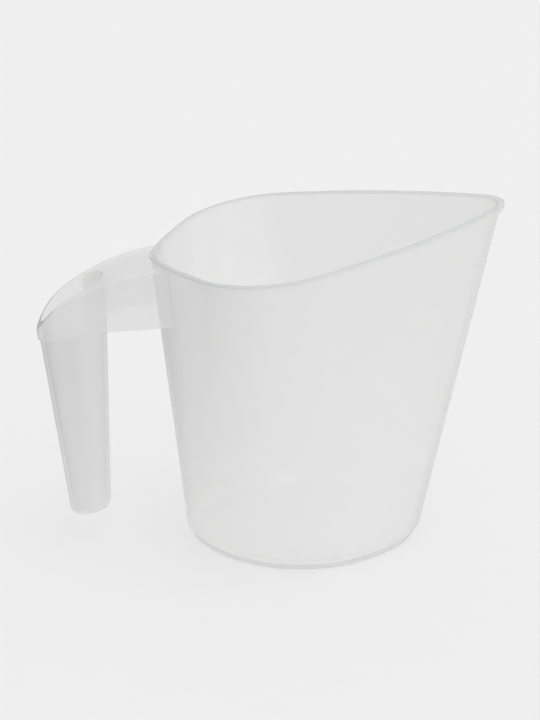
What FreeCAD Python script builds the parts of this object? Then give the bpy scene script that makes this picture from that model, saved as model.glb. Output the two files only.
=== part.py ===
"""Pouring jug with a hollow grip: a thin-walled moulding in natural polypropylene.

The jug stands on Z = 0 with its spout towards +X and its handle towards -X, and is the
same on both sides of Y = 0.  The sketches measure X from the middle of the jug's foot.
The finished pieces are then placed so that X = 0 is the middle of the whole length.
All sizes are millimetres and degrees and live in the spreadsheet "sizes".

jug_body    tapered body with floor, foot ring and the lip round its sloping mouth
handle_arm  channel from the jug's rim that ends in a collar round the top of the grip
grip_tube   hollow tapered grip that hangs from the collar, closed at its lower end
"""
import FreeCAD, Part
import math
import os
import Sketcher
from FreeCAD import Vector

SIZES = [
    ("wall", 1.4, "wall of the jug"),
    ("floor_thickness", 1.8, "floor of the jug"),
    ("foot_height", 1.5, "foot ring below the floor"),
    ("foot_inset", 2.3, "foot ring in from the outline at the table"),
    ("foot_width", 1.8, "width of the foot ring"),
    ("corner_radius", 5.0, "outer rounding between wall and floor"),
    # outline of the jug's walls where they would meet the table
    ("base_rear", 52.1, "reach towards the handle"),
    ("base_front", 54.8, "reach towards the spout"),
    ("base_half_width", 44.4, "half the width"),
    ("base_flank", 3.3, "straight stretch beside the nose"),
    ("base_side_radius", 72.8, "long curve towards the spout"),
    # outline of the jug just above its rim
    ("mouth_rise", 15.2, "height of this outline above the middle of the rim"),
    ("mouth_rear", 69.5, "reach towards the handle"),
    ("mouth_front", 89.2, "reach towards the spout"),
    ("mouth_half_width", 63.8, "half the width"),
    ("mouth_flank", 31.0, "straight stretch beside the nose"),
    ("mouth_side_radius", 298.0, "long curve towards the spout"),
    # directions that both outlines share, so that the walls between them are smooth
    ("flank_angle", 60.5, "straight stretches against the plane of symmetry"),
    ("cheek_angle", 69.6, "way that the wall faces where a cheek meets a long side"),
    ("tip_angle", 50.0, "way that the wall faces where a long side meets the spout"),
    # rim and lip
    ("rim_height", 144.8, "height of the rim above the middle of the foot"),
    ("rim_slope", 7.05, "rise of the rim towards the spout"),
    ("lip_rear", 0.5, "lip outwards at the handle"),
    ("lip_side", 1.1, "lip outwards at the sides"),
    ("lip_front", 1.5, "lip outwards at the spout"),
    ("lip_depth", 2.2, "height of the lip above the middle of the foot"),
    ("lip_taper", 0.72, "lip's lower edge against the rim, deeper at the spout"),
    # arm from the rim to the grip, and the collar that it ends in
    ("arm_drop", 9.3, "crest of the arm below the middle of the rim"),
    ("arm_crest", 55.0, "crest of the arm, from the middle of the foot"),
    ("arm_radius", 90.0, "long curve of the arm's back"),
    ("arm_turn", 32.2, "slope of the back where the long curve ends"),
    ("arm_flare", 7.9, "widening of the arm towards the jug, each side"),
    ("arm_draft", 4.0, "lean of the arm's sides"),
    ("arm_rounding", 0.9, "rounding along the arm's back"),
    ("plate_wall", 2.0, "back of the arm"),
    ("web_wall", 1.5, "sides of the arm"),
    ("web_rise", 5.3, "rise of the sides' lower edges towards the jug"),
    ("collar_offset", 20.3, "middle of the collar's round end, from the grip's finger side"),
    ("collar_radius", 10.7, "round end of the collar at its lower edge"),
    ("collar_depth", 34.9, "lower edge of the collar's far end below the crest"),
    ("collar_rim", 4.0, "height of the collar's far end, up to the arm's back"),
    ("collar_pitch", 11.3, "rise of the collar's lower edge towards the jug"),
    # grip, with its outline at the underside and at the level of the arm's crest
    ("grip_bottom", 14.4, "lowest point of the grip's underside"),
    ("grip_low_inner", 88.0, "finger side, from the middle of the foot"),
    ("grip_low_radius", 8.15, "rounding of the finger side"),
    ("grip_low_stretch", 1.9, "distance between the two roundings"),
    ("grip_top_inner", 86.5, "finger side, from the middle of the foot"),
    ("grip_top_radius", 12.85, "rounding of the finger side"),
    ("grip_top_stretch", 11.5, "distance between the two roundings"),
    ("grip_taper", 15.2, "slant of the grip's flat sides to the plane of symmetry"),
    ("grip_wall", 1.5, "wall of the grip"),
    ("grip_floor", 1.6, "floor of the grip"),
    ("grip_end_pitch", 10.0, "rise of the grip's underside towards the jug"),
    ("grip_end_radius", 3.0, "rounding round the underside"),
]

OVERRUN = 2.0               # blanks and cutters run on past the finished faces
NEAR = 0.01                 # an edge this close to a plane lies in it
START, END, CENTER = range(1, 4)
X_AXIS = -1

MOUTH_LEVEL = "(sizes.rim_height + sizes.mouth_rise)"
ARM_TOP = "(sizes.rim_height - sizes.arm_drop)"
COLLAR_EDGE = f"({ARM_TOP} - sizes.collar_depth)"
COLLAR_CENTER = "(sizes.grip_top_inner + sizes.collar_offset)"
COLLAR_END = f"({COLLAR_CENTER} + sizes.collar_radius)"
FLOOR_TOP = "(sizes.foot_height + sizes.floor_thickness)"
GRIP_LOW_LEVEL = f"(sizes.grip_bottom - {OVERRUN})"
GRIP_LOW_END = ("(sizes.grip_low_inner + 2 * sizes.grip_low_radius"
                " + sizes.grip_low_stretch * (1 - sin(sizes.grip_taper)))")
REACH = f"(2 * {MOUTH_LEVEL})"


def make_sheet():
    """Spreadsheet with one named size in each row."""
    table = doc.addObject("Spreadsheet::Sheet", "sizes")
    for row, (alias, value, meaning) in enumerate(SIZES, start=1):
        table.set(f"A{row}", alias)
        table.set(f"B{row}", str(value))
        table.set(f"C{row}", meaning)
        table.setAlias(f"B{row}", alias)
    doc.recompute()
    return table


def number(text):
    """Present value of an expression, for a sketch's first guess."""
    return float(sheet.evalExpression(text))


# --- sketches -------------------------------------------------------------------------

def new_sketch(body, name, role, height=None):
    """Empty sketch on one of the body's own planes, lifted where a height is given."""
    sketch = body.newObject("Sketcher::SketchObject", name)
    plane = next(item for item in body.Origin.OriginFeatures if item.Role == role)
    sketch.AttachmentSupport = [(plane, "")]
    sketch.MapMode = "FlatFace"
    if height is not None:
        sketch.setExpression("AttachmentOffset.Base.z", height)
    return sketch


def bind(sketch, to, kind, *where):
    """Add a dimension to the sketch and tie it to an expression."""
    value = number(to)
    if kind == "Angle":
        value = math.radians(value)
    index = sketch.addConstraint(Sketcher.Constraint(kind, *where, value))
    sketch.setExpression(f"Constraints[{index}]", to)


def relate(sketch, *relations):
    """Add constraints that carry no size."""
    for relation in relations:
        sketch.addConstraint(Sketcher.Constraint(*relation))


def arc(center, start, end):
    """Arc that runs anticlockwise about its centre from start to end."""
    first = math.atan2(start.y - center.y, start.x - center.x)
    last = math.atan2(end.y - center.y, end.x - center.x)
    if last < first:
        last += 2 * math.pi
    circle = Part.Circle(center, Vector(0, 0, 1), (start - center).Length)
    return Part.ArcOfCircle(circle, first, last)


def toward(degrees):
    """Unit vector in a sketch, at this angle to its X axis."""
    return Vector(math.cos(math.radians(degrees)), math.sin(math.radians(degrees)))


def mirrored(point):
    """The point on the other side of the X axis."""
    return Vector(point.x, -point.y)


def jug_outline(body, name, height, end, rear="0", side="0", front="0"):
    """Outline of the jug at its base or mouth, grown by rear, side and front.

    From the handle to the spout it is a round nose, straight flanks, cheeks that set the
    width, long sides and the rounding of the spout, each tangent to the next.  The radii
    of nose, cheeks and tip are those that close the outline at its length and width.
    """
    slant, shoulder, bow = "sizes.flank_angle", "sizes.cheek_angle", "sizes.tip_angle"
    flank = f"sizes.{end}_flank"
    back = f"(sizes.{end}_rear + ({rear}))"
    reach = f"(sizes.{end}_front + ({front}))"
    half = f"(sizes.{end}_half_width + ({side}))"
    side_radius = f"(sizes.{end}_side_radius + ({side}))"
    at_nose = f"({half} - {flank} * sin({slant}))"
    at_tip = f"({half} - {side_radius} * (sin({shoulder}) - sin({bow})))"
    cheek_radius = (f"(({back} + {reach} - {flank} * cos({slant})"
                    f" - {side_radius} * (cos({bow}) - cos({shoulder}))"
                    f" - {at_nose} * tan(45 - {slant} / 2) - {at_tip} * tan({bow} / 2))"
                    f" / (sin({slant}) + cos({shoulder})"
                    f" - (1 - cos({slant})) * tan(45 - {slant} / 2)"
                    f" - (1 - sin({shoulder})) * tan({bow} / 2)))")
    nose_radius = f"(({at_nose} - {cheek_radius} * (1 - cos({slant}))) / cos({slant}))"
    tip_radius = f"(({at_tip} - {cheek_radius} * (1 - sin({shoulder}))) / sin({bow}))"
    nose_x = f"{nose_radius} - {back}"
    tip_x = f"{reach} - {tip_radius}"

    outward = toward(number(slant) + 90)
    nose = Vector(number(nose_x), 0)
    tip = Vector(number(tip_x), 0)
    flank_start = nose + outward * number(nose_radius)
    flank_end = flank_start + toward(number(slant)) * number(flank)
    cheek = flank_end - outward * number(cheek_radius)
    cheek_end = cheek + toward(number(shoulder)) * number(cheek_radius)
    long_side = cheek_end - toward(number(shoulder)) * number(side_radius)
    side_end = tip + toward(number(bow)) * number(tip_radius)

    sketch = new_sketch(body, name, "XY_Plane", height)
    sketch.addGeometry([
        arc(nose, flank_start, mirrored(flank_start)),
        Part.LineSegment(flank_start, flank_end),
        arc(cheek, cheek_end, flank_end),
        arc(long_side, side_end, cheek_end),
        arc(tip, mirrored(side_end), side_end),
        arc(mirrored(long_side), mirrored(cheek_end), mirrored(side_end)),
        arc(mirrored(cheek), mirrored(flank_end), mirrored(cheek_end)),
        Part.LineSegment(mirrored(flank_start), mirrored(flank_end)),
    ], False)
    relate(sketch,
           ("Tangent", 0, START, 1, START), ("Tangent", 1, END, 2, END),
           ("Tangent", 2, START, 3, END), ("Tangent", 3, START, 4, END),
           ("Tangent", 4, START, 5, END), ("Tangent", 5, START, 6, END),
           ("Tangent", 6, START, 7, END), ("Tangent", 7, START, 0, END),
           ("PointOnObject", 0, CENTER, X_AXIS), ("PointOnObject", 4, CENTER, X_AXIS),
           ("Symmetric", 1, END, 7, END, X_AXIS), ("Equal", 2, 6), ("Equal", 3, 5))
    bind(sketch, nose_radius, "Radius", 0)
    bind(sketch, cheek_radius, "Radius", 2)
    bind(sketch, side_radius, "Radius", 3)
    bind(sketch, tip_radius, "Radius", 4)
    bind(sketch, nose_x, "DistanceX", 0, CENTER)
    bind(sketch, tip_x, "DistanceX", 4, CENTER)
    bind(sketch, slant, "Angle", 1)
    bind(sketch, flank, "Distance", 1)
    return sketch


def grip_outline(body, name, height, end, growth="0"):
    """Outline of the grip: a large and a small rounding joined by two slanting flats."""
    large_radius = f"(sizes.grip_{end}_radius + ({growth}))"
    small_radius = f"({large_radius} - sizes.grip_{end}_stretch * sin(sizes.grip_taper))"
    large_x = f"-sizes.grip_{end}_inner - sizes.grip_{end}_radius"
    small_x = f"{large_x} - sizes.grip_{end}_stretch"

    outward = toward(90 + number("sizes.grip_taper"))
    large = Vector(number(large_x), 0)
    small = Vector(number(small_x), 0)
    flat_start = large + outward * number(large_radius)
    flat_end = small + outward * number(small_radius)

    sketch = new_sketch(body, name, "XY_Plane", height)
    sketch.addGeometry([
        arc(large, mirrored(flat_start), flat_start),
        Part.LineSegment(flat_start, flat_end),
        arc(small, flat_end, mirrored(flat_end)),
        Part.LineSegment(mirrored(flat_end), mirrored(flat_start)),
    ], False)
    relate(sketch,
           ("Tangent", 0, END, 1, START), ("Tangent", 1, END, 2, START),
           ("Tangent", 2, END, 3, START), ("Tangent", 3, END, 0, START),
           ("PointOnObject", 0, CENTER, X_AXIS), ("PointOnObject", 2, CENTER, X_AXIS))
    bind(sketch, large_radius, "Radius", 0)
    bind(sketch, small_radius, "Radius", 2)
    bind(sketch, large_x, "DistanceX", 0, CENTER)
    bind(sketch, small_x, "DistanceX", 2, CENTER)
    return sketch


def arm_radius(height):
    """Radius of the arm's round end at a height; the sides lean with it."""
    return f"(sizes.collar_radius + ({height} - {COLLAR_EDGE}) * tan(sizes.arm_draft))"


def arm_outline(body, name, height):
    """Outline of the arm from above: a round end and sides that flare to the jug."""
    radius = arm_radius(height)
    center_x = f"-{COLLAR_CENTER}"
    root_x = "-sizes.arm_crest"
    flare = "sizes.arm_flare"

    center = Vector(number(center_x), 0)
    side_start = center + toward(90 + number(flare)) * number(radius)
    run = number(root_x) - side_start.x
    side_end = side_start + Vector(run, run * math.tan(math.radians(number(flare))))

    sketch = new_sketch(body, name, "XY_Plane", height)
    sketch.addGeometry([
        arc(center, side_start, mirrored(side_start)),
        Part.LineSegment(side_start, side_end),
        Part.LineSegment(mirrored(side_start), mirrored(side_end)),
        Part.LineSegment(side_end, mirrored(side_end)),
    ], False)
    relate(sketch,
           ("Tangent", 0, START, 1, START), ("Tangent", 0, END, 2, START),
           ("Coincident", 1, END, 3, START), ("Coincident", 3, END, 2, END),
           ("PointOnObject", 0, CENTER, X_AXIS), ("Symmetric", 1, END, 2, END, X_AXIS))
    bind(sketch, radius, "Radius", 0)
    bind(sketch, center_x, "DistanceX", 0, CENTER)
    bind(sketch, root_x, "DistanceX", 1, END)
    bind(sketch, flare, "Angle", 1)
    return sketch


def channel_outline(body, name, height):
    """Outline of the space between the arm's sides, from inside the grip to the jug."""
    flare = "sizes.arm_flare"
    start_x = "-(sizes.grip_top_inner + sizes.grip_top_radius)"
    root_x = "-sizes.arm_crest"
    start_y = (f"({arm_radius(height)} - sizes.web_wall"
               f" + ({COLLAR_CENTER} + {start_x}) * sin({flare})) / cos({flare})")

    start = Vector(number(start_x), number(start_y))
    run = number(root_x) - start.x
    end = start + Vector(run, run * math.tan(math.radians(number(flare))))

    sketch = new_sketch(body, name, "XY_Plane", height)
    sketch.addGeometry([
        Part.LineSegment(start, end),
        Part.LineSegment(end, mirrored(end)),
        Part.LineSegment(mirrored(end), mirrored(start)),
        Part.LineSegment(mirrored(start), start),
    ], False)
    relate(sketch,
           ("Coincident", 0, END, 1, START), ("Coincident", 1, END, 2, START),
           ("Coincident", 2, END, 3, START), ("Coincident", 3, END, 0, START),
           ("Symmetric", 0, START, 2, END, X_AXIS), ("Symmetric", 0, END, 2, START, X_AXIS))
    bind(sketch, start_x, "DistanceX", 0, START)
    bind(sketch, start_y, "DistanceY", 0, START)
    bind(sketch, root_x, "DistanceX", 0, END)
    bind(sketch, flare, "Angle", 0)
    return sketch


def arm_profile(body, name, inset="0", drop="0"):
    """Side view of the arm: its curved back, the collar's edge and the sides' edge.

    inset moves the back inwards and drop lowers both lower edges.  The short curve has
    the radius that takes it from the end of the long curve to the top of the collar.
    """
    crest_x = "-sizes.arm_crest"
    crest_z = f"{ARM_TOP} - ({inset})"
    long_radius = f"(sizes.arm_radius - ({inset}))"
    turn_x = f"{crest_x} - {long_radius} * sin(sizes.arm_turn)"
    rim_z = f"({COLLAR_EDGE} + sizes.collar_rim)"
    back = (f"({COLLAR_CENTER} + {arm_radius(rim_z)} - sizes.arm_crest"
            " - sizes.arm_radius * sin(sizes.arm_turn))")
    down = f"({ARM_TOP} - sizes.arm_radius * (1 - cos(sizes.arm_turn)) - {rim_z})"
    short_radius = (f"(({back} ^ 2 + {down} ^ 2)"
                    f" / (2 * ({down} * cos(sizes.arm_turn) - {back} * sin(sizes.arm_turn)))"
                    f" - ({inset}))")
    corner_x = "-sizes.grip_top_inner"
    corner_z = (f"{COLLAR_EDGE} - ({drop})"
                f" + ({COLLAR_END} - sizes.grip_top_inner) * tan(sizes.collar_pitch)")

    turn = math.radians(number("sizes.arm_turn"))
    pitch = math.radians(number("sizes.collar_pitch"))
    rise = math.radians(number("sizes.web_rise"))
    crest = Vector(number(crest_x), number(crest_z))
    long_center = crest - Vector(0, number(long_radius))
    outward = Vector(-math.sin(turn), math.cos(turn))
    back_turn = long_center + outward * number(long_radius)
    short_center = back_turn - outward * number(short_radius)
    corner = Vector(number(corner_x), number(corner_z))
    edge = Vector(math.cos(pitch), math.sin(pitch))
    to_corner = corner - short_center
    along = to_corner.dot(edge)
    off_line = math.sqrt(to_corner.Length ** 2 - along ** 2)
    tip = corner - edge * (along + math.sqrt(number(short_radius) ** 2 - off_line ** 2))
    run = crest.x - corner.x
    foot = corner + Vector(run, run * math.tan(rise))

    sketch = new_sketch(body, name, "XZ_Plane")
    sketch.addGeometry([
        arc(long_center, crest, back_turn),
        arc(short_center, back_turn, tip),
        Part.LineSegment(tip, corner),
        Part.LineSegment(corner, foot),
        Part.LineSegment(foot, crest),
    ], False)
    relate(sketch,
           ("Tangent", 0, END, 1, START), ("Coincident", 1, END, 2, START),
           ("Coincident", 2, END, 3, START), ("Coincident", 3, END, 4, START),
           ("Coincident", 4, END, 0, START), ("Vertical", 4))
    bind(sketch, crest_x, "DistanceX", 0, START)
    bind(sketch, crest_z, "DistanceY", 0, START)
    bind(sketch, crest_x, "DistanceX", 0, CENTER)
    bind(sketch, long_radius, "Radius", 0)
    bind(sketch, turn_x, "DistanceX", 0, END)
    bind(sketch, short_radius, "Radius", 1)
    bind(sketch, corner_x, "DistanceX", 2, END)
    bind(sketch, corner_z, "DistanceY", 2, END)
    bind(sketch, "sizes.collar_pitch", "Angle", 2)
    bind(sketch, "sizes.web_rise", "Angle", 3)
    return sketch


def slanted_block(body, name, through, pitch, below=False):
    """Large rectangle in side view, with one edge through a point at a pitch."""
    through_x, through_z = through
    sign = "-" if below else ""
    corner_x = f"{through_x} - ({sign}{REACH} * cos({pitch}))"
    corner_z = f"{through_z} - ({sign}{REACH} * sin({pitch}))"
    angle = math.radians(number(pitch)) + (math.pi if below else 0)

    along = Vector(math.cos(angle), math.sin(angle)) * number(f"2 * {REACH}")
    inward = Vector(-math.sin(angle), math.cos(angle)) * number(REACH)
    corner = Vector(number(corner_x), number(corner_z))
    corners = [corner, corner + along, corner + along + inward, corner + inward]

    sketch = new_sketch(body, name, "XZ_Plane")
    for index, point in enumerate(corners):
        sketch.addGeometry(Part.LineSegment(point, corners[(index + 1) % 4]), False)
    relate(sketch,
           ("Coincident", 0, END, 1, START), ("Coincident", 1, END, 2, START),
           ("Coincident", 2, END, 3, START), ("Coincident", 3, END, 0, START),
           ("Perpendicular", 0, 1), ("Perpendicular", 1, 2), ("Perpendicular", 2, 3))
    bind(sketch, corner_x, "DistanceX", 0, START)
    bind(sketch, corner_z, "DistanceY", 0, START)
    bind(sketch, f"{pitch} + {180 if below else 0}", "Angle", 0)
    bind(sketch, f"2 * {REACH}", "Distance", 0)
    bind(sketch, REACH, "Distance", 1)
    return sketch


# --- features -------------------------------------------------------------------------

def new_body(name):
    """PartDesign body for one blank or one cutter."""
    return doc.addObject("PartDesign::Body", name)


def loft(body, name, lower, upper):
    """Straight-sided loft between two outlines."""
    feature = body.newObject("PartDesign::AdditiveLoft", name)
    feature.Profile = lower
    feature.Sections = [(upper, [""])]
    feature.Ruled = True
    return feature


def extrude(body, kind, name, sketch, length, both_sides=False):
    """Pad or pocket of a sketch; a sketch in side view goes to both sides."""
    feature = body.newObject("PartDesign::" + kind, name)
    feature.Profile = sketch
    feature.SideType = "Symmetric" if both_sides else "One side"
    feature.setExpression("Length", length)
    return feature


def trim(body, name, through, pitch, below=False):
    """Cut the body off at a slanting plane and check that the cut takes something."""
    doc.recompute()
    volume = body.Shape.Volume
    sketch = slanted_block(body, name + "_sketch", through, pitch, below)
    feature = extrude(body, "Pocket", name, sketch, REACH, both_sides=True)
    doc.recompute()
    if body.Shape.Volume > volume - NEAR:
        raise RuntimeError(f"{name} cuts nothing from {body.Name}")
    return feature


def round_edges(body, name, base, through, pitch, radius):
    """Fillet the edges of the last feature that lie in a slanting plane."""
    doc.recompute()
    point = Vector(number(through[0]), 0, number(through[1]))
    angle = math.radians(number(pitch))
    normal = Vector(-math.sin(angle), 0, math.cos(angle))
    edges = [f"Edge{index}" for index, edge in enumerate(base.Shape.Edges, start=1)
             if all(abs((spot - point).dot(normal)) < NEAR for spot in edge.discretize(3))]
    feature = body.newObject("PartDesign::Fillet", name)
    feature.Base = (base, edges)
    feature.setExpression("Radius", radius)
    return feature


def round_back(name, shape, radius):
    """Body made from the arm's shape, rounded along both sides and the end of its back."""
    body = new_body(name)
    body.BaseFeature = shape
    doc.recompute()
    base = body.Group[0]
    back = [face for face in base.Shape.Faces if isinstance(face.Surface, Part.Cylinder)]
    bent = [edge for face in back for edge in face.Edges
            if not isinstance(edge.Curve, Part.Line)]
    edges = [f"Edge{index}" for index, edge in enumerate(base.Shape.Edges, start=1)
             if any(edge.isSame(other) for other in bent)]
    feature = body.newObject("PartDesign::Fillet", name + "_rounding")
    feature.Base = (base, edges)
    feature.setExpression("Radius", radius)
    return body


def cut(name, base, *tools):
    """Take the tools away from the base one by one; the last result has the name."""
    for tool in tools:
        last = tool is tools[-1]
        result = doc.addObject("Part::Cut", name if last else f"{name}_less_{tool.Name}")
        result.Base = base
        result.Tool = tool
        base = result
    return base


def combine(kind, name, *shapes):
    """Fusion or common part of several shapes."""
    result = doc.addObject("Part::" + kind, name)
    result.Shapes = list(shapes)
    return result


# --- blanks and cutters ---------------------------------------------------------------

def make_jug_hull():
    """Outside of the jug's body, filled, with its rounded lower corner."""
    body = new_body("jug_hull")
    base = jug_outline(body, "hull_base", "0", "base")
    mouth = jug_outline(body, "hull_mouth", MOUTH_LEVEL, "mouth")
    loft(body, "hull_sides", base, mouth)
    underside = trim(body, "hull_underside", ("0", "sizes.foot_height"), "0", below=True)
    round_edges(body, "hull_corner", underside, ("0", "sizes.foot_height"), "0",
                "sizes.corner_radius")
    return body


def make_jug_space():
    """Inside of the jug, from its floor to above the rim."""
    inwards = dict.fromkeys(("rear", "side", "front"), "-sizes.wall")
    body = new_body("jug_space")
    base = jug_outline(body, "space_base", "0", "base", **inwards)
    mouth = jug_outline(body, "space_mouth", MOUTH_LEVEL, "mouth", **inwards)
    loft(body, "space_sides", base, mouth)
    floor = trim(body, "space_floor", ("0", FLOOR_TOP), "0", below=True)
    round_edges(body, "space_corner", floor, ("0", FLOOR_TOP), "0",
                "sizes.corner_radius - sizes.wall")
    return body


def make_foot_ring():
    """Ring that the jug stands on, let into the rounded corner of its floor."""
    body = new_body("foot_ring")
    outer = dict.fromkeys(("rear", "side", "front"), "-sizes.foot_inset")
    inner = dict.fromkeys(("rear", "side", "front"), "-sizes.foot_inset - sizes.foot_width")
    outside = jug_outline(body, "ring_outside", "0", "base", **outer)
    extrude(body, "Pad", "ring_pad", outside, "sizes.foot_height + sizes.floor_thickness / 2")
    inside = jug_outline(body, "ring_inside", "0", "base", **inner)
    opening = extrude(body, "Pocket", "ring_opening", inside, REACH)
    opening.Reversed = True
    return body


def make_lip():
    """Lip that stands out all round the rim, wider and deeper at the spout."""
    body = new_body("lip")
    outwards = {"rear": "sizes.lip_rear", "side": "sizes.lip_side", "front": "sizes.lip_front"}
    base = jug_outline(body, "lip_base", "0", "base", **outwards)
    mouth = jug_outline(body, "lip_mouth", MOUTH_LEVEL, "mouth", **outwards)
    loft(body, "lip_sides", base, mouth)
    trim(body, "lip_lower_edge", ("0", "(sizes.rim_height - sizes.lip_depth)"),
         "(sizes.rim_slope - sizes.lip_taper)", below=True)
    trim(body, "lip_rim", ("0", "sizes.rim_height"), "sizes.rim_slope")
    return body


def make_rim_space():
    """Everything above the sloping rim."""
    body = new_body("rim_space")
    block = slanted_block(body, "rim_block", ("0", "sizes.rim_height"), "sizes.rim_slope")
    extrude(body, "Pad", "rim_pad", block, REACH, both_sides=True)
    return body


def make_arm_shape(name, outline, inset="0", drop="0"):
    """Common part of an outline of the arm from above and its profile from the side."""
    plan = new_body(name + "_plan")
    lower = outline(plan, name + "_lower", f"({COLLAR_EDGE} - ({drop}) - {OVERRUN})")
    upper = outline(plan, name + "_upper", f"({ARM_TOP} + {OVERRUN})")
    loft(plan, name + "_flanks", lower, upper)
    side = new_body(name + "_side")
    profile = arm_profile(side, name + "_profile", inset, drop)
    extrude(side, "Pad", name + "_pad", profile, REACH, both_sides=True)
    return combine("MultiCommon", name, plan, side)


def make_grip_hull():
    """Outside of the grip, filled, up to the level of the arm's crest."""
    body = new_body("grip_hull")
    low = grip_outline(body, "grip_low", GRIP_LOW_LEVEL, "low")
    top = grip_outline(body, "grip_top", ARM_TOP, "top")
    loft(body, "grip_sides", low, top)
    return body


def make_grip_blank():
    """The grip below the collar, filled, with its slanting rounded underside."""
    body = new_body("grip_blank")
    low = grip_outline(body, "blank_low", GRIP_LOW_LEVEL, "low")
    top = grip_outline(body, "blank_top", ARM_TOP, "top")
    loft(body, "blank_sides", low, top)
    trim(body, "blank_seam", (f"-{COLLAR_END}", COLLAR_EDGE), "sizes.collar_pitch")
    below = (f"-{GRIP_LOW_END}", "sizes.grip_bottom")
    end = trim(body, "blank_end", below, "sizes.grip_end_pitch", below=True)
    round_edges(body, "blank_end_rounding", end, below, "sizes.grip_end_pitch",
                "sizes.grip_end_radius")
    return body


def make_grip_bore():
    """Hollow of the grip, from its floor up through the collar and the arm's back."""
    body = new_body("grip_bore")
    low = grip_outline(body, "bore_low", GRIP_LOW_LEVEL, "low", "-sizes.grip_wall")
    top = grip_outline(body, "bore_top", ARM_TOP, "top", "-sizes.grip_wall")
    loft(body, "bore_sides", low, top)
    floor = (f"-{GRIP_LOW_END}", "(sizes.grip_bottom + sizes.grip_floor)")
    end = trim(body, "bore_floor", floor, "sizes.grip_end_pitch", below=True)
    round_edges(body, "bore_floor_rounding", end, floor, "sizes.grip_end_pitch",
                "sizes.grip_end_radius / 2")
    return body


# --- finished pieces ------------------------------------------------------------------

def make_pieces():
    """The three pieces of the jug."""
    jug_hull = make_jug_hull()
    lip = make_lip()
    jug_solid = combine("MultiFuse", "jug_solid", jug_hull, make_foot_ring(), lip)
    jug_body = cut("jug_body", jug_solid, make_rim_space(), make_jug_space())

    grip_bore = make_grip_bore()
    grip_blank = make_grip_blank()
    grip_tube = cut("grip_tube", grip_blank, grip_bore)

    arm_shape = round_back("rounded_arm", make_arm_shape("arm_shape", arm_outline),
                           "sizes.arm_rounding")
    arm_space = make_arm_shape("arm_space", channel_outline,
                               inset="sizes.plate_wall", drop=str(OVERRUN))
    arm_channel = cut("arm_channel", arm_space, make_grip_hull())
    handle_arm = cut("handle_arm", arm_shape, arm_channel, grip_bore, grip_blank, jug_hull, lip)
    return [jug_body, handle_arm, grip_tube]


def place_pieces(pieces):
    """Shift the pieces along X so that the origin is the middle of the whole length."""
    doc.recompute()
    boxes = [piece.Shape.optimalBoundingBox(False) for piece in pieces]
    middle = (min(box.XMin for box in boxes) + max(box.XMax for box in boxes)) / 2
    for piece in pieces:
        piece.Placement.Base = Vector(-middle, 0, 0)
    doc.recompute()


def check_pieces(pieces):
    """Stop if any feature failed or a piece isn't one sound solid."""
    for item in doc.Objects:
        if {"Invalid", "Error"} & set(item.State):
            raise RuntimeError(f"{item.Name} failed: {item.State}")
    for piece in pieces:
        shape = piece.Shape
        if shape.isNull() or not shape.isValid() or len(shape.Solids) != 1:
            raise RuntimeError(f"{piece.Label} isn't one sound solid")


def export_pieces(pieces):
    """Write one STEP file for each piece, named by its label."""
    os.makedirs("parts", exist_ok=True)
    for piece in pieces:
        piece.Shape.exportStep(f"parts/{piece.Label}.step")


doc = FreeCAD.newDocument("pouring_jug")
sheet = make_sheet()
finished = make_pieces()
place_pieces(finished)
check_pieces(finished)
export_pieces(finished)
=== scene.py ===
"""Pouring jug with a hollow grip: the finish, the stage and the light.

The jug is one moulding in natural polypropylene.  Its body and its grip are walls that
run straight from one outline to another, so both are made here as rings of points along
those straight lines, with the rounded edges that a mould leaves.  The arm is a copy of
the CAD mesh, whose root is moved onto the body's wall.  All lengths are metres.
"""

import math

import bmesh
import bpy
import numpy as np
from bpy.props import FloatProperty, FloatVectorProperty, PointerProperty
from mathutils import Euler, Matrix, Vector


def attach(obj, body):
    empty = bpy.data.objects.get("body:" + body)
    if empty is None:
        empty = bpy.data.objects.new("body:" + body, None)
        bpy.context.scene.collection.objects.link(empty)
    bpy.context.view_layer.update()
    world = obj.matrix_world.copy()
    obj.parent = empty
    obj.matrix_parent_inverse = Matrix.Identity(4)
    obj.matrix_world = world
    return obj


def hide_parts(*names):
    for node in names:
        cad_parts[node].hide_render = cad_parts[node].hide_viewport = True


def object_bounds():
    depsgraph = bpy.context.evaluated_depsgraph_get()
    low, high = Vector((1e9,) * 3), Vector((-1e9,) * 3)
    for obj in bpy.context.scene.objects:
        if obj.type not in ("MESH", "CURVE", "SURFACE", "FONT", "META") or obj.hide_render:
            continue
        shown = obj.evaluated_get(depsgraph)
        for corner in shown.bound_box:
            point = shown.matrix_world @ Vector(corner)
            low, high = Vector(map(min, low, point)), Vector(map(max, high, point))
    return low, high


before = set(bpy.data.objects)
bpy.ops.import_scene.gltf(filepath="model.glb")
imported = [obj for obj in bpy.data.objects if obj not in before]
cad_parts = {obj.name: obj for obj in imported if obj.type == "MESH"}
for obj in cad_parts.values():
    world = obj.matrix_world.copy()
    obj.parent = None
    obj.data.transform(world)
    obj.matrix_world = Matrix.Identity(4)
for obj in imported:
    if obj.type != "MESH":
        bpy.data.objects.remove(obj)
CAD_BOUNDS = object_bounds()

bl_info = {
    "name": "Pouring jug",
    "version": (1, 0, 0),
    "blender": (4, 5, 0),
    "location": "3D View > Sidebar > Jug",
    "description": "Makes the body, arm and grip of a clear moulded jug and its stage",
    "category": "Object",
}

MM = 0.001
WHITE = (1.0, 1.0, 1.0, 1.0)
BLACK = (0.0, 0.0, 0.0, 1.0)

# materials of a piece: plain faces, ends of walls in painted shade, joints in the moulding
PLAIN_SLOT, EDGE_SLOT, JOINED_SLOT = range(3)

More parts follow.
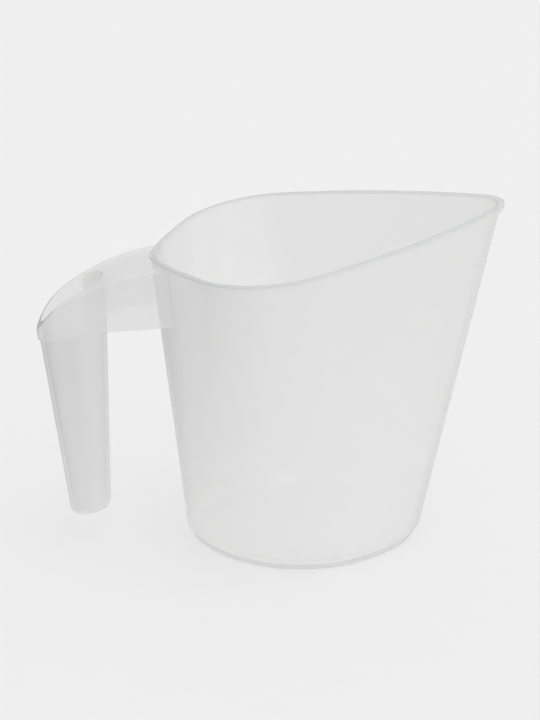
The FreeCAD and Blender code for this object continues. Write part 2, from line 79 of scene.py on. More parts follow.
# shapes
FOOT_MIDDLE = 13.87 * MM        # middle of the foot, along X from the origin
SHARP_TURN = math.radians(35)   # edges that turn by more than this stay sharp
FOOT_EDGE = 0.35 * MM           # rounding of the foot ring's edges
FOOT_MARGIN = 0.6 * MM          # flat strip of the underside inside the foot ring
LIP_MARGIN = 0.3 * MM           # strip of the wall just below the lip
LIP_SHARE = 0.6                 # of the lip's width, at most, goes into its lower rounding
# that darker look is painted shade, given by the edge material
RIM_BAND = 0.5 * MM             # the end of the wall looks darker this far below its edges
WALL_SHARES = (0.25, 0.5, 0.75, 0.9)    # rings of the jug's wall, shares of its height
TUBE_SHARES = (0.33, 0.67)              # rings of the grip's wall, shares of its length
UNDERSIDE_SHARES = (0.25, 0.5, 0.75)    # rings within the underside, outwards
FLOOR_SHARES = (0.8, 0.55, 0.3)         # rings within the jug's floor, inwards
GRIP_END_SHARES = (0.35, 0.7)           # rings within the grip's end, outwards
ROOT_REACH = 6 * MM             # the arm's root follows the wall over this length
TOUCHING = 0.05 * MM            # faces nearer to each other than this touch

# plastic
MATH = "ShaderNodeMath"
IOR = 1.49                      # polypropylene
HEAD_ON_MIRROR = ((IOR - 1) / (IOR + 1)) ** 2
GRAZING_POWER = 5.0             # how late the mirror share rises towards the edges
GLOSS_ROUGHNESS = 0.09          # from a polished mould
CLEAR_SHARE = 0.66              # light that goes straight on at each face of a wall
# at the ends of walls less light goes straight on, as part of their painted shade
EDGE_CLEAR_SHARE = 0.5          # and at the end of a wall
FORWARD_SHARE = 0.4             # of the scattered light, what leaves on the far side
TINT = 0.985                    # the plastic's slight grey, at each face of a wall
FLOW_SPACING = 22 * MM          # between the flow marks of the melt
FLOW_DEPTH = 0.25 * MM
FLOW_STRETCH = (1.0, 1.0, 0.35)         # the marks are drawn out up the wall
GRAIN_SPACING = 1.2 * MM        # the fine grain, drawn coarser than it is so that it shows
GRAIN_DEPTH = 0.05 * MM

# stage
FLOOR_REACH = 12.0              # from the floor's middle to its edges
FLOOR_FADE = (-0.25, -0.05)     # X between which the floor's light comes up to full
LEFT_FLOOR = 0.2                # share of its light beyond that, on the handle's side
LEFT_LIGHT = 0.58               # light of the studio from the handle's side
RIGHT_LIGHT = 1.08              # and from the spout's side
# lamps, each with its place, strength and width: a soft one, and one for the highlights
SUNS = (("key", (0.3, -0.4, 0.9), 0.32, math.radians(50)),
        ("glint", (0.12, -0.37, 0.92), 0.3, math.radians(8)))
CAMERA_PLACE = (-0.0942, -0.7513, 0.3906)
CAMERA_TURN = (math.radians(68.0), 0.0, math.radians(-7.11))
LENS, SENSOR_WIDTH = 120.98, 36.0       # in millimetres, as Blender's camera has them
CLEAR_BOUNCES = 40              # a look along the jug goes through many clear faces
MILK_BOUNCES = 8                # light goes to and fro between the milky walls


def length(name, description, millimetres):
    """Property for a length of the jug."""
    return FloatProperty(name=name, description=description, default=millimetres * MM,
                         min=0.0, unit="LENGTH", subtype="DISTANCE", precision=4)


def angle(name, description, degrees):
    """Property for an angle of the jug."""
    return FloatProperty(name=name, description=description, default=math.radians(degrees),
                         unit="ROTATION", subtype="ANGLE")


def linear(hex_code):
    """Linear RGB of an sRGB hex colour."""
    channels = [int(hex_code[i:i + 2], 16) / 255 for i in (1, 3, 5)]
    return [c / 12.92 if c <= 0.04045 else ((c + 0.055) / 1.055) ** 2.4 for c in channels]


def colour(name, description, hex_code):
    """Property for a colour, given as sRGB hex and kept linear."""
    return FloatVectorProperty(name=name, description=description, default=linear(hex_code),
                               subtype="COLOR", min=0.0, max=1.0)


# --- what a user can change -----------------------------------------------------------

class JugBodySizes(bpy.types.PropertyGroup):
    """Sizes of the jug's body, from its foot to the lip round its mouth."""
    wall: length("Wall", "Thickness of the jug's wall", 1.4)
    floor_thickness: length("Floor", "Thickness of the jug's floor", 1.8)
    foot_height: length("Foot height", "Height of the foot ring below the floor", 1.5)
    foot_inset: length("Foot inset", "Foot ring in from the outline at the table", 2.3)
    foot_width: length("Foot width", "Width of the foot ring", 1.8)
    corner_radius: length("Corner radius", "Outer rounding between wall and floor", 5.0)
    base_rear: length("Base rear", "Reach of the base towards the handle", 52.1)
    base_front: length("Base front", "Reach of the base towards the spout", 54.8)
    base_half_width: length("Base half width", "Half the width of the base", 44.4)
    base_flank: length("Base flank", "Straight stretch beside a round nose, base", 3.3)
    base_side_radius: length("Base side radius", "Long curve of the base", 72.8)
    mouth_height: length("Mouth height", "Height of the mouth's outline", 160.0)
    mouth_rear: length("Mouth rear", "Reach of the mouth towards the handle", 69.5)
    mouth_front: length("Mouth front", "Reach of the mouth towards the spout", 89.2)
    mouth_half_width: length("Mouth half width", "Half the width of the mouth", 63.8)
    mouth_flank: length("Mouth flank", "Straight stretch beside a round nose, mouth", 31.0)
    mouth_side_radius: length("Mouth side radius", "Long curve of the mouth", 298.0)
    base_ridge: length("Base ridge", "Rounding on the middle plane at the base", 27.7)
    mouth_ridge: length("Mouth ridge", "Rounding on the middle plane at the mouth", 4.0)
    base_straight: length("Base straight", "Straight stretch beside the ridge, base", 3.3)
    mouth_straight: length("Mouth straight", "Straight stretch beside the ridge, mouth", 16.7)
    ridge_angle: angle("Ridge angle", "Turn of the wall at the ridge, to either side", 14.0)
    flank_angle: angle("Flank angle", "Straight stretches against the middle plane", 60.5)
    cheek_angle: angle("Cheek angle", "Way the wall faces where cheek meets side", 69.6)
    tip_angle: angle("Tip angle", "Way the wall faces where side meets spout", 50.0)
    rim_height: length("Rim height", "Height of the rim above the middle of the foot", 144.8)
    rim_slope: angle("Rim slope", "Rise of the rim towards the spout", 7.05)
    lip_rear: length("Lip at the handle", "Lip outwards at the handle", 0.5)
    lip_side: length("Lip at the sides", "Lip outwards at the sides", 1.1)
    lip_front: length("Lip at the spout", "Lip outwards at the spout", 1.5)
    lip_depth: length("Lip depth", "Rim to lower edge, above the middle of the foot", 2.2)
    lip_taper: angle("Lip taper", "Lip's lower edge against the rim", 0.72)
    edge_radius: length("Edge radius", "Rounding of the lip's edges", 0.45)


class GripSizes(bpy.types.PropertyGroup):
    """Sizes of the hollow grip below the arm's collar."""
    low_level: length("Low level", "Height of the lower outline", 12.4)
    top_level: length("Top level", "Height of the upper outline", 135.5)
    low_inner: length("Low finger side", "Finger side from the foot's middle", 88.0)
    low_radius: length("Low radius", "Rounding of the finger side, lower outline", 8.15)
    low_stretch: length("Low stretch", "Between the two roundings, lower outline", 1.9)
    top_inner: length("Top finger side", "Finger side from the foot's middle", 86.5)
    top_radius: length("Top radius", "Rounding of the finger side, upper outline", 12.85)
    top_stretch: length("Top stretch", "Between the two roundings, upper outline", 11.5)
    taper: angle("Taper", "Slant of the flat sides to the middle plane", 15.2)
    wall: length("Wall", "Wall of the grip", 1.5)
    floor_thickness: length("Floor", "Floor of the grip", 1.6)
    bottom: length("Bottom", "Lowest point of the underside", 14.4)
    end_pitch: angle("End pitch", "Rise of the underside towards the jug", 10.0)
    end_radius: length("End radius", "Rounding round the underside", 3.0)
    collar_end: length("Collar end", "Far end of the collar from the foot's middle", 117.5)
    collar_edge: length("Collar edge", "Height of the collar's lower edge at that end", 100.6)
    collar_pitch: angle("Collar pitch", "Rise of the collar's lower edge", 11.3)


class JugColours(bpy.types.PropertyGroup):
    """Colours of the plastic and of the stage."""
    haze: colour("Haze", "What the milky plastic scatters", "#F9F8F8")
    # greyer than the haze, partly for the grip's thicker wall and partly as painted shade for
    # the little light inside the narrow tube
    grip: colour("Grip", "What the thicker plastic of the grip scatters", "#F0EFF0")
    # painted shade: a darker colour for the ends of walls, in place of the dark line that light
    # led away down the wall leaves there
    edge: colour("Edge", "What the end of a wall scatters", "#DFE0E2")
    ground: colour("Ground", "Floor and backdrop", "#EFEFEF")


# --- outlines and rings ---------------------------------------------------------------

def toward(direction):
    """Unit vector in plan at an angle to the X axis."""
    return np.array([math.cos(direction), math.sin(direction)])


def run(first, last, count):
    """Evenly spaced values from first up to, but not at, last."""
    return first + (last - first) * np.arange(count) / count


def arc(center, radius, first, last, count=1):
    """Points of an arc up to, but not at, its last direction, and the ways they face.

    A count of one gives the first point alone.
    """
    directions = run(first, last, count)
    facing = np.column_stack([np.cos(directions), np.sin(directions)])
    return center + facing * radius, facing


def line(start, end, direction, count):
    """Points of a line up to, but not at, its end, and the way they all face."""
    return (start + (end - start) * run(0.0, 1.0, count)[:, None],
            np.tile(toward(direction), (count, 1)))


def joined(*stretches):
    """Points and facing ways of arcs and lines, one after the other."""
    points, facing = zip(*stretches)
    return np.vstack(points), np.vstack(facing)


class Walls:
    """Straight lines between a lower and an upper outline that face the same ways."""

    def __init__(self, lower, upper, facing, low_level, top_level):
        self.lower = lower
        self.rise = (upper - lower) / (top_level - low_level)
        self.facing = facing
        self.low_level = low_level

    def ring(self, growth, level, pitch=0.0):
        """Where the walls, grown outwards, meet a plane at a level on the foot's middle."""
        start = self.lower + self.facing * np.reshape(growth, (-1, 1))
        slope = math.tan(pitch)
        height = level - self.low_level + slope * start[:, 0]
        height = height / (1 - slope * self.rise[:, 0])
        spot = start + self.rise * height[:, None]
        return np.column_stack([spot[:, 0] + FOOT_MIDDLE, spot[:, 1],
                                self.low_level + height])

    def rings(self, profile, pitch=0.0):
        """Rings at the spots of a profile, each a growth outwards and a level."""
        return [self.ring(growth, level, pitch) for growth, level in profile]


def both_sides(points):
    """A half outline from the handle to the spout, and its mirror image back again."""
    mirror = points[-2:0:-1] * (1, -1)
    return np.vstack([points, mirror])


def jug_half_outline(sizes, end, ridged=True):
    """Half of the jug's outline at its base or mouth, and the ways it faces.

    A ridged outline turns quickly on the middle plane and then runs in a long curve to
    its flank, where a plain one is round.
    """
    slant, shoulder, bow = sizes.flank_angle, sizes.cheek_angle, sizes.tip_angle
    turn = sizes.ridge_angle
    rear, front, half, flank, side, ridge, straight = (
        getattr(sizes, f"{end}_{name}")
        for name in ("rear", "front", "half_width", "flank", "side_radius", "ridge",
                     "straight"))

    # the radii of nose, cheek and tip that reach all of rear, front and half the width
    at_nose = half - flank * math.sin(slant)
    at_tip = half - side * (math.sin(shoulder) - math.sin(bow))
    nose_share = math.tan((math.pi / 2 - slant) / 2)
    tip_share = math.tan(bow / 2)
    cheek = ((rear + front - flank * math.cos(slant)
              - side * (math.cos(bow) - math.cos(shoulder))
              - at_nose * nose_share - at_tip * tip_share)
             / (math.sin(slant) + math.cos(shoulder) - (1 - math.cos(slant)) * nose_share
                - (1 - math.sin(shoulder)) * tip_share))
    nose = (at_nose - cheek * (1 - math.cos(slant))) / math.cos(slant)
    tip = (at_tip - cheek * (1 - math.sin(shoulder))) / math.sin(bow)

    square = slant + math.pi / 2
    flank_end = np.array([nose - rear, 0.0]) + toward(square) * nose + toward(slant) * flank
    if not ridged:
        ridge, straight = nose, flank
    flank_start = flank_end - toward(slant) * straight
    curve = (flank_start[1] - ridge * math.sin(turn)) / (math.cos(slant) - math.sin(turn))
    curve_center = flank_start - toward(square) * curve
    ridge_center = curve_center + toward(math.pi - turn) * (curve - ridge)
    cheek_center = flank_end - toward(square) * cheek
    side_center = cheek_center + toward(shoulder) * (cheek - side)
    tip_center = np.array([front - tip, 0.0])

    return joined(arc(ridge_center, ridge, math.pi, math.pi - turn, 8),
                  arc(curve_center, curve, math.pi - turn, square, 14),
                  line(flank_start, flank_end, square, 6),
                  arc(cheek_center, cheek, square, shoulder, 26),
                  arc(side_center, side, shoulder, bow, 20),
                  arc(tip_center, tip, bow, 0.0, 20),
                  arc(tip_center, tip, 0.0, 0.0))


def jug_walls(sizes, ridged=True):
    """The jug's outer wall, with or without the ridge towards the handle."""
    base, facing = jug_half_outline(sizes, "base", ridged)
    mouth, _ = jug_half_outline(sizes, "mouth", ridged)
    return Walls(both_sides(base), both_sides(mouth), both_sides(facing),
                 0.0, sizes.mouth_height)


def wall_at(walls, spot):
    """X of the handle's side of a wall, at the height and the offset of a spot."""
    ring = walls.ring(0.0, spot.z)
    quarter = ring[:len(ring) // 4]     # from the middle plane on, with Y always growing
    return float(np.interp(abs(spot.y), quarter[:, 1], quarter[:, 0]))


def grip_half_outline(sizes, end):
    """Half of the grip's outline, from its finger side to its far side."""
    inner, large, stretch = (getattr(sizes, f"{end}_{name}")
                             for name in ("inner", "radius", "stretch"))
    small = large - stretch * math.sin(sizes.taper)
    square = sizes.taper + math.pi / 2
    large_center = np.array([-inner - large, 0.0])
    small_center = large_center - (stretch, 0.0)
    return joined(arc(large_center, large, 0.0, square, 24),
                  line(large_center + toward(square) * large,
                       small_center + toward(square) * small, square, 4),
                  arc(small_center, small, square, math.pi, 16),
                  arc(small_center, small, math.pi, math.pi))


def grip_walls(sizes):
    """The grip's outer wall."""
    low, facing = grip_half_outline(sizes, "low")
    top, _ = grip_half_outline(sizes, "top")
    return Walls(both_sides(low), both_sides(top), both_sides(facing),
                 sizes.low_level, sizes.top_level)


def collar_level(sizes):
    """Height of the plane of the collar's lower edge, on the foot's middle."""
    return sizes.collar_edge + sizes.collar_end * math.tan(sizes.collar_pitch)


def rounding(center, radius, first, last, count=5, rise=None):
    """Spots of a rounded corner in a profile, its angles in degrees from outwards.

    With a rise it is an oval corner, which is that high.
    """
    rise = radius if rise is None else rise
    turns = np.radians(np.linspace(first, last, count))
    return [(center[0] + radius * math.cos(turn), center[1] + rise * math.sin(turn))
            for turn in turns]


def shrunk(ring, center, shares):
    """Copies of a ring drawn in towards a point."""
    return [center + (ring - center) * share for share in shares]


def ring_mesh(name, sections, first_center, last_center, material):
    """Closed mesh through rings of points, with a point in the middle of each end.

    A section is a material slot and some rings, and the faces above each ring take it.
    """
    rings = [ring for _, section in sections for ring in section]
    slots = [slot for slot, section in sections for _ in section]
    count = len(rings[0])
    points = np.vstack([first_center, *rings, last_center])
    last = len(points) - 1
    faces = []
    for column in range(count):
        after = (column + 1) % count
        faces.append((0, 1 + after, 1 + column))
        for row in range(len(rings) - 1):
            low, high = 1 + row * count, 1 + (row + 1) * count
            faces.append((low + column, low + after, high + after, high + column))
        faces.append((last - count + column, last - count + after, last))
    mesh = bpy.data.meshes.new(name)
    mesh.from_pydata(points.tolist(), [], faces)
    mesh.update()
    piece = bpy.data.objects.new(name, mesh)
    bpy.context.scene.collection.objects.link(piece)
    face_outwards(mesh)
    mesh.shade_smooth()
    mesh.set_sharp_from_angle(angle=SHARP_TURN)
    set_materials(mesh, material)
    mesh.polygons.foreach_set("material_index", [PLAIN_SLOT, *slots] * count)
    return piece


def face_outwards(mesh):
    """Turn every face of a closed mesh outwards."""
    work = bmesh.new()
    work.from_mesh(mesh)
    bmesh.ops.recalc_face_normals(work, faces=work.faces)
    work.to_mesh(mesh)
    work.free()


# --- material -------------------------------------------------------------------------

def add(tree, kind, inputs=(), output=0, **settings):
    """Add a shader node with its settings and inputs, and return one of its outputs.

    An input is either a value or the output of another node.
    """
    node = tree.nodes.new(kind)
    for name, value in settings.items():
        setattr(node, name, value)
    for name, value in dict(inputs).items():
        if isinstance(value, bpy.types.NodeSocket):
            tree.links.new(value, node.inputs[name])
        else:
            node.inputs[name].default_value = value
    return node.outputs[output] if node.outputs else None


def empty_material(name):
    """The material of a name, new or emptied of its nodes, and its node tree."""
    material = bpy.data.materials.get(name) or bpy.data.materials.new(name)
    material.use_nodes = True
    tree = material.node_tree
    tree.nodes.clear()
    return material, tree


def milky_plastic(name, haze, clear_share):
    """Milky, half-clear plastic sheet with a soft gloss."""
    material, tree = empty_material(name)
    place = add(tree, "ShaderNodeTexCoord", output="Object")
    stretched = add(tree, "ShaderNodeMapping", {"Vector": place, "Scale": FLOW_STRETCH})
    flow = add(tree, "ShaderNodeTexNoise",
               {"Vector": stretched, "Scale": 1 / FLOW_SPACING, "Detail": 3.0})
    grain = add(tree, "ShaderNodeTexNoise",
                {"Vector": place, "Scale": 1 / GRAIN_SPACING, "Detail": 2.0})
    dents = add(tree, "ShaderNodeBump",
                {"Height": grain, "Strength": 0.06, "Distance": GRAIN_DEPTH})
    surface = add(tree, "ShaderNodeBump",
                  {"Height": flow, "Normal": dents, "Strength": 0.25, "Distance": FLOW_DEPTH})

    # a ray bends towards the wall's normal, so its way through the wall stays short; at
    # this blend, facing is one less the cosine of the ray's angle to the normal
    facing = add(tree, "ShaderNodeLayerWeight", {"Blend": 0.5}, output="Facing")
    cosine = add(tree, MATH, {0: 1.0, 1: facing}, operation="SUBTRACT")
    cosine_squared = add(tree, MATH, {0: cosine, 1: 2.0}, operation="POWER")
    sine_squared = add(tree, MATH, {0: 1.0, 1: cosine_squared}, operation="SUBTRACT")
    bent_squared = add(tree, MATH, {0: sine_squared, 1: IOR ** 2}, operation="DIVIDE")
    upright_squared = add(tree, MATH, {0: 1.0, 1: bent_squared}, operation="SUBTRACT")
    way = add(tree, MATH, {0: upright_squared, 1: -0.5}, operation="POWER")
    clear = add(tree, MATH, {0: clear_share, 1: way}, operation="POWER")
    tint = add(tree, MATH, {0: TINT, 1: way}, operation="POWER")

    # the light that the milk scatters still reaches the things behind it
    rays = add(tree, "ShaderNodeLightPath").node.outputs
    lighting = add(tree, MATH, {0: rays["Is Shadow Ray"], 1: rays["Is Diffuse Ray"]},
                   operation="MAXIMUM")
    through = add(tree, MATH, {0: clear, 1: lighting}, operation="MAXIMUM")

    front = add(tree, "ShaderNodeBsdfDiffuse", {"Color": (*haze, 1.0), "Normal": surface})
    back = add(tree, "ShaderNodeBsdfTranslucent", {"Color": (*haze, 1.0), "Normal": surface})
    milk = add(tree, "ShaderNodeMixShader", {0: FORWARD_SHARE, 1: front, 2: back})
    open_air = add(tree, "ShaderNodeBsdfTransparent", {"Color": tint})
    sheet = add(tree, "ShaderNodeMixShader", {0: through, 1: milk, 2: open_air})

    # mirror share at a face, from the wall's IOR: small head on, full along the wall
    gloss = add(tree, "ShaderNodeBsdfGlossy",
                {"Roughness": GLOSS_ROUGHNESS, "Normal": surface})
    grazing = add(tree, MATH, {0: facing, 1: GRAZING_POWER}, operation="POWER")
    mirror = add(tree, "ShaderNodeMapRange", {"Value": grazing, "To Min": HEAD_ON_MIRROR})
    seen = add(tree, MATH, {0: 1.0, 1: rays["Is Shadow Ray"]}, operation="SUBTRACT")
    mirror = add(tree, MATH, {0: mirror, 1: seen}, operation="MULTIPLY")
    whole = add(tree, "ShaderNodeMixShader", {0: mirror, 1: sheet, 2: gloss})
    add(tree, "ShaderNodeOutputMaterial", {"Surface": whole})
    return material


def natural_polypropylene():
    """Injection-moulded natural polypropylene.

    The eye sees through it, a little greyed, and more so where it looks along a wall.
    The gloss is that of a polished mould, softened by slight flow marks.
    """
    return milky_plastic("natural_polypropylene_moulded",
                         bpy.context.scene.jug_colours.haze, CLEAR_SHARE)


def grip_shaded_polypropylene():
    """The same plastic in the grip, whose thicker wall looks a little greyer."""
    # the greyer colour is partly for the thicker wall and partly painted shade, for the little
    # light inside the narrow tube
    return milky_plastic("natural_polypropylene_thick_and_shaded",
                         bpy.context.scene.jug_colours.grip, CLEAR_SHARE)


def edge_shade_polypropylene():
    """The same plastic at the end of a wall.

    Light that enters here is led away down the wall; the darker edge is painted shade.
    """
    return milky_plastic("natural_polypropylene_edge_shade",
                         bpy.context.scene.jug_colours.edge, EDGE_CLEAR_SHARE)


def joined_polypropylene():
    """The same plastic where two stretches of the moulding run into each other.

    There is no surface here, so the eye sees nothing of it.
    """
    material, tree = empty_material("natural_polypropylene_joined")
    through = add(tree, "ShaderNodeBsdfTransparent", {"Color": WHITE})
    add(tree, "ShaderNodeOutputMaterial", {"Surface": through})
    return material


def set_materials(mesh, plain):
    """Give a mesh its three materials, in the order of their slots."""
    mesh.materials.clear()
    for material in (plain, edge_shade_polypropylene(), joined_polypropylene()):
        mesh.materials.append(material)


def finish_piece(piece, *nodes):
    """Say what body a new piece rides on and the nodes it stands for."""
    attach(piece, "root")
    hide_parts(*nodes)


# --- parts of the jug's body ----------------------------------------------------------

def foot_sections(walls, sizes, middle):
    """Underside, foot ring and lower corner, from the middle outwards.

    The foot ring's outer side is an end of the moulding and takes the rim's painted shade.
    """
    level = middle[2]
    outer = -sizes.foot_inset
    inner = outer - sizes.foot_width
    radius = sizes.corner_radius
    meet = math.degrees(math.acos((outer + radius) / radius))
    underside = walls.rings([(inner - FOOT_MARGIN, level), (inner, level),
                             *rounding((inner + FOOT_EDGE, FOOT_EDGE), FOOT_EDGE, 180, 270)])
    edge = walls.rings(rounding((outer - FOOT_EDGE, FOOT_EDGE), FOOT_EDGE, 270, 360))
    corner = walls.rings(rounding((-radius, level + radius), radius, -meet, 0, 9))
    return [(PLAIN_SLOT, shrunk(underside[0], middle, UNDERSIDE_SHARES) + underside),
            (EDGE_SLOT, edge), (PLAIN_SLOT, corner)]


def lip_width(walls, sizes):
    """How far the lip stands out at each point of the outline, least at the handle."""
    ahead = walls.facing[:, 0]
    tip = np.where(ahead > 0, sizes.lip_front, sizes.lip_rear)
    return sizes.lip_side + (tip - sizes.lip_side) * ahead ** 2


def outer_sections(walls, sizes):
    """Outer wall, lip and rim, upwards and over to the inside of the rim."""
    rim, slope, edge = sizes.rim_height, sizes.rim_slope, sizes.edge_radius
    lip_level, lip_slope = rim - sizes.lip_depth, slope - sizes.lip_taper
    lip = lip_width(walls, sizes)
    under = np.minimum(lip * LIP_SHARE, edge)
    below = rounding((lip - under, lip_level + edge), under, 270, 360, rise=edge)
    wall = [walls.ring(0.0, lip_level * share, lip_slope * share) for share in WALL_SHARES]
    wall += walls.rings([(0.0, lip_level - LIP_MARGIN), (0.0, lip_level), *below], lip_slope)
    # the rim and a band below it take the painted shade of a wall's end
    end = walls.rings([(lip, rim - edge - RIM_BAND),
                       *rounding((lip - edge, rim - edge), edge, 0, 90, 6),
                       *rounding((edge - sizes.wall, rim - edge), edge, 90, 180, 6)], slope)
    return [(PLAIN_SLOT, wall), (EDGE_SLOT, end)]


def inner_sections(walls, sizes, middle):
    """Inner wall and floor, from the rim downwards and in to the middle."""
    rim, slope, inside = sizes.rim_height, sizes.rim_slope, -sizes.wall
    radius = sizes.corner_radius - sizes.wall
    rings = [walls.ring(inside, rim - sizes.edge_radius - RIM_BAND, slope)]
    rings += [walls.ring(inside, rim * share, slope * share) for share in WALL_SHARES[::-1]]
    rings += walls.rings(rounding((inside - radius, middle[2] + radius), radius, 0, -90, 9))
    rings += shrunk(rings[-1], middle, FLOOR_SHARES)
    return [(PLAIN_SLOT, rings)]


# --- operators ------------------------------------------------------------------------

class JUG_OT_body(bpy.types.Operator):
    """Make the jug's body, with its foot ring, floor, walls and the lip round its mouth"""
    bl_idname = "jug.body"
    bl_label = "Make body"

    def execute(self, context):
        sizes = context.scene.jug_body_sizes
        walls = jug_walls(sizes)
        underside = np.array([FOOT_MIDDLE, 0.0, sizes.foot_height])
        floor = underside + (0.0, 0.0, sizes.floor_thickness)
        sections = [*foot_sections(walls, sizes, underside), *outer_sections(walls, sizes),
                    *inner_sections(walls, sizes, floor)]
        piece = ring_mesh("clear_jug", sections, underside, floor, natural_polypropylene())
        finish_piece(piece, "jug_body")
        return {"FINISHED"}


class JUG_OT_grip(bpy.types.Operator):
    """Make the hollow grip, open at its top and closed at its slanting lower end"""
    bl_idname = "jug.grip"
    bl_label = "Make grip"

    def execute(self, context):
        sizes = context.scene.jug_grip_sizes
        walls = grip_walls(sizes)
        pitch, radius, inside = sizes.end_pitch, sizes.end_radius, -sizes.wall
        low_end = (sizes.low_inner + 2 * sizes.low_radius
                   + sizes.low_stretch * (1 - math.sin(sizes.taper)))
        end = sizes.bottom + low_end * math.tan(pitch)
        to_collar = collar_level(sizes) - end
        twist = sizes.collar_pitch - pitch

        outer = walls.rings(rounding((-radius, end + radius), radius, -90, 0, 9), pitch)
        bottom = outer[0].mean(axis=0)
        outer = shrunk(outer[0], bottom, GRIP_END_SHARES) + outer
        outer += [walls.ring(0.0, end + to_collar * share, pitch + twist * share)
                  for share in TUBE_SHARES]
        seam = [walls.ring(0.0, end + to_collar, sizes.collar_pitch)]
        inner = [walls.ring(inside, end + to_collar * share, pitch + twist * share)
                 for share in (1.0, *TUBE_SHARES[::-1])]
        floor, corner = end + sizes.floor_thickness, radius / 2
        inner_corner = rounding((inside - corner, floor + corner), corner, 0, -90, 6)
        inner += walls.rings(inner_corner, pitch)
        top = inner[-1].mean(axis=0)
        inner += shrunk(inner[-1], top, GRIP_END_SHARES[::-1])

        sections = [(PLAIN_SLOT, outer), (JOINED_SLOT, seam), (PLAIN_SLOT, inner)]
        piece = ring_mesh("hollow_grip", sections, bottom, top, grip_shaded_polypropylene())
        finish_piece(piece, "grip_tube")
        return {"FINISHED"}


class JUG_OT_arm(bpy.types.Operator):
    """Make the arm between the jug and the grip, with its root against the jug's wall"""
    bl_idname = "jug.arm"
    bl_label = "Make arm"

    def execute(self, context):
        sizes, grip = context.scene.jug_body_sizes, context.scene.jug_grip_sizes
        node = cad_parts["handle_arm"]
        to_world, from_world = node.matrix_world, node.matrix_world.inverted()
        mesh = node.data.copy()
        piece = bpy.data.objects.new("arm_and_collar", mesh)
        piece.matrix_world = to_world
        context.scene.collection.objects.link(piece)

        round_walls, ridged_walls = jug_walls(sizes, ridged=False), jug_walls(sizes)
        collar, rise = collar_level(grip), math.tan(grip.collar_pitch)
        on_wall, on_seam = set(), set()
        for vertex in mesh.vertices:
            spot = to_world @ vertex.co
            if abs(collar + (spot.x - FOOT_MIDDLE) * rise - spot.z) < TOUCHING:
                on_seam.add(vertex.index)
            round_wall = wall_at(round_walls, spot)
            gap = round_wall - spot.x
            if gap < TOUCHING:
                on_wall.add(vertex.index)
            if gap < ROOT_REACH:
                share = 1 - max(gap, 0.0) / ROOT_REACH
                spot.x += share * (wall_at(ridged_walls, spot) - round_wall)
                vertex.co = from_world @ spot

        set_materials(mesh, natural_polypropylene())
        for face in mesh.polygons:
            if on_seam.issuperset(face.vertices):
                face.material_index = JOINED_SLOT
            # the root's faces on the jug's wall take painted shade, a dark line where the arm
            # meets the body
            elif on_wall.issuperset(face.vertices):
                face.material_index = EDGE_SLOT
        finish_piece(piece, "handle_arm")
        return {"FINISHED"}


# --- stage ----------------------------------------------------------------------------

def matt_paper(ground):
    """Pale matt paper, which is plain to the eye and has no gloss.

    It throws less light back on the handle's side, so the jug's edges are darker there.
    """
    material, tree = empty_material("matt_ground")
    place = add(tree, "ShaderNodeTexCoord", output="Object")
    across = add(tree, "ShaderNodeSeparateXYZ", {0: place})
    share = add(tree, "ShaderNodeMapRange",
                {"Value": across, "From Min": FLOOR_FADE[0], "From Max": FLOOR_FADE[1],
                 "To Min": LEFT_FLOOR, "To Max": 1.0})
    looked_at = add(tree, "ShaderNodeLightPath").node.outputs["Is Camera Ray"]
    share = add(tree, MATH, {0: share, 1: looked_at}, operation="MAXIMUM")
    tone = add(tree, "ShaderNodeMix", {"Factor": share, 6: BLACK, 7: ground},
               output=2, data_type="RGBA")
    paper = add(tree, "ShaderNodeBsdfDiffuse", {"Color": tone})
    add(tree, "ShaderNodeOutputMaterial", {"Surface": paper})
    return material


def studio(ground):
    """World that is plain to the eye and lights the jug less from the handle's side."""
    world = bpy.data.worlds.new("studio")
    world.use_nodes = True
    tree = world.node_tree
    tree.nodes.clear()
    direction = add(tree, "ShaderNodeTexCoord", output="Generated")
    across = add(tree, "ShaderNodeSeparateXYZ", {0: direction})
    level = add(tree, "ShaderNodeMapRange", {"Value": across, "From Min": -1.0,
                                             "To Min": LEFT_LIGHT, "To Max": RIGHT_LIGHT})
    dome = add(tree, "ShaderNodeBackground", {"Color": WHITE, "Strength": level})
    backdrop = add(tree, "ShaderNodeBackground", {"Color": ground})
    rays = add(tree, "ShaderNodeLightPath").node.outputs
    straight = add(tree, MATH, {0: rays["Is Camera Ray"], 1: rays["Is Transmission Ray"]},
                   operation="MAXIMUM")
    mixed = add(tree, "ShaderNodeMixShader", {0: straight, 1: dome, 2: backdrop})
    add(tree, "ShaderNodeOutputWorld", {"Surface": mixed})
    return world


def add_floor(scene, material):
    """Wide level floor at the jug's foot."""
    mesh = bpy.data.meshes.new("ground")
    mesh.from_pydata([(-FLOOR_REACH, -FLOOR_REACH, 0), (FLOOR_REACH, -FLOOR_REACH, 0),
                      (FLOOR_REACH, FLOOR_REACH, 0), (-FLOOR_REACH, FLOOR_REACH, 0)],
                     [], [(0, 1, 2, 3)])
    mesh.materials.append(material)
    floor = bpy.data.objects.new("ground", mesh)
    scene.collection.objects.link(floor)


def add_sun(scene, name, place, strength, width):
    """Lamp that shines from a place towards the middle of the jug."""
    light = bpy.data.lights.new(name, "SUN")
    light.energy = strength
    light.angle = width
    lamp = bpy.data.objects.new(name, light)
    low, high = map(Vector, CAD_BOUNDS)
    lamp.location = place
    lamp.rotation_euler = ((low + high) / 2 - lamp.location).to_track_quat("-Z", "Y").to_euler()
    scene.collection.objects.link(lamp)


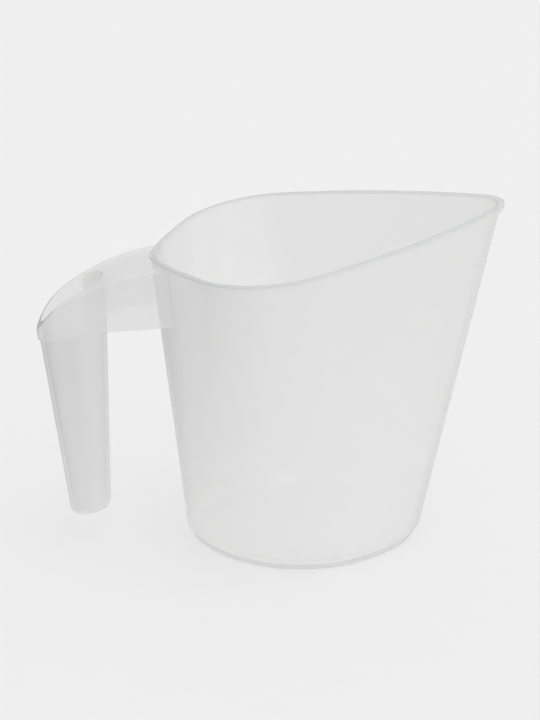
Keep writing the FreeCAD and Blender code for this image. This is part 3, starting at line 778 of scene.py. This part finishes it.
def add_camera(scene):
    """Camera in front of the jug, from where the handle is on the left."""
    camera = bpy.data.cameras.new("camera")
    camera.lens = LENS
    camera.sensor_width = SENSOR_WIDTH
    camera.sensor_fit = "HORIZONTAL"
    viewer = bpy.data.objects.new("camera", camera)
    viewer.location = CAMERA_PLACE
    viewer.rotation_euler = Euler(CAMERA_TURN)
    scene.collection.objects.link(viewer)
    scene.camera = viewer


class JUG_OT_stage(bpy.types.Operator):
    """Make the pale floor, the light and the camera"""
    bl_idname = "jug.stage"
    bl_label = "Make stage"

    def execute(self, context):
        scene = context.scene
        ground = (*scene.jug_colours.ground, 1.0)
        add_floor(scene, matt_paper(ground))
        scene.world = studio(ground)
        for sun in SUNS:
            add_sun(scene, *sun)
        add_camera(scene)
        scene.view_settings.view_transform = "Standard"
        scene.cycles.transparent_max_bounces = CLEAR_BOUNCES
        scene.cycles.diffuse_bounces = MILK_BOUNCES
        return {"FINISHED"}


class JUG_PT_panel(bpy.types.Panel):
    """Makes the jug piece by piece."""
    bl_idname = "JUG_PT_panel"
    bl_label = "Pouring jug"
    bl_space_type = "VIEW_3D"
    bl_region_type = "UI"
    bl_category = "Jug"

    def draw(self, context):
        for operator in OPERATORS:
            self.layout.operator(operator.bl_idname)


GROUPS = {"jug_body_sizes": JugBodySizes, "jug_grip_sizes": GripSizes,
          "jug_colours": JugColours}
OPERATORS = (JUG_OT_body, JUG_OT_grip, JUG_OT_arm, JUG_OT_stage)


def register():
    """Register the classes and hang the settings on the scene."""
    for kind in (*GROUPS.values(), *OPERATORS, JUG_PT_panel):
        bpy.utils.register_class(kind)
    for name, group in GROUPS.items():
        setattr(bpy.types.Scene, name, PointerProperty(type=group))


def unregister():
    """Undo register."""
    for name in GROUPS:
        delattr(bpy.types.Scene, name)
    for kind in reversed((*GROUPS.values(), *OPERATORS, JUG_PT_panel)):
        bpy.utils.unregister_class(kind)


def main():
    """Make the jug and its stage."""
    register()
    bpy.ops.jug.body()
    bpy.ops.jug.grip()
    bpy.ops.jug.arm()
    bpy.ops.jug.stage()


if __name__ == "__main__":
    main()
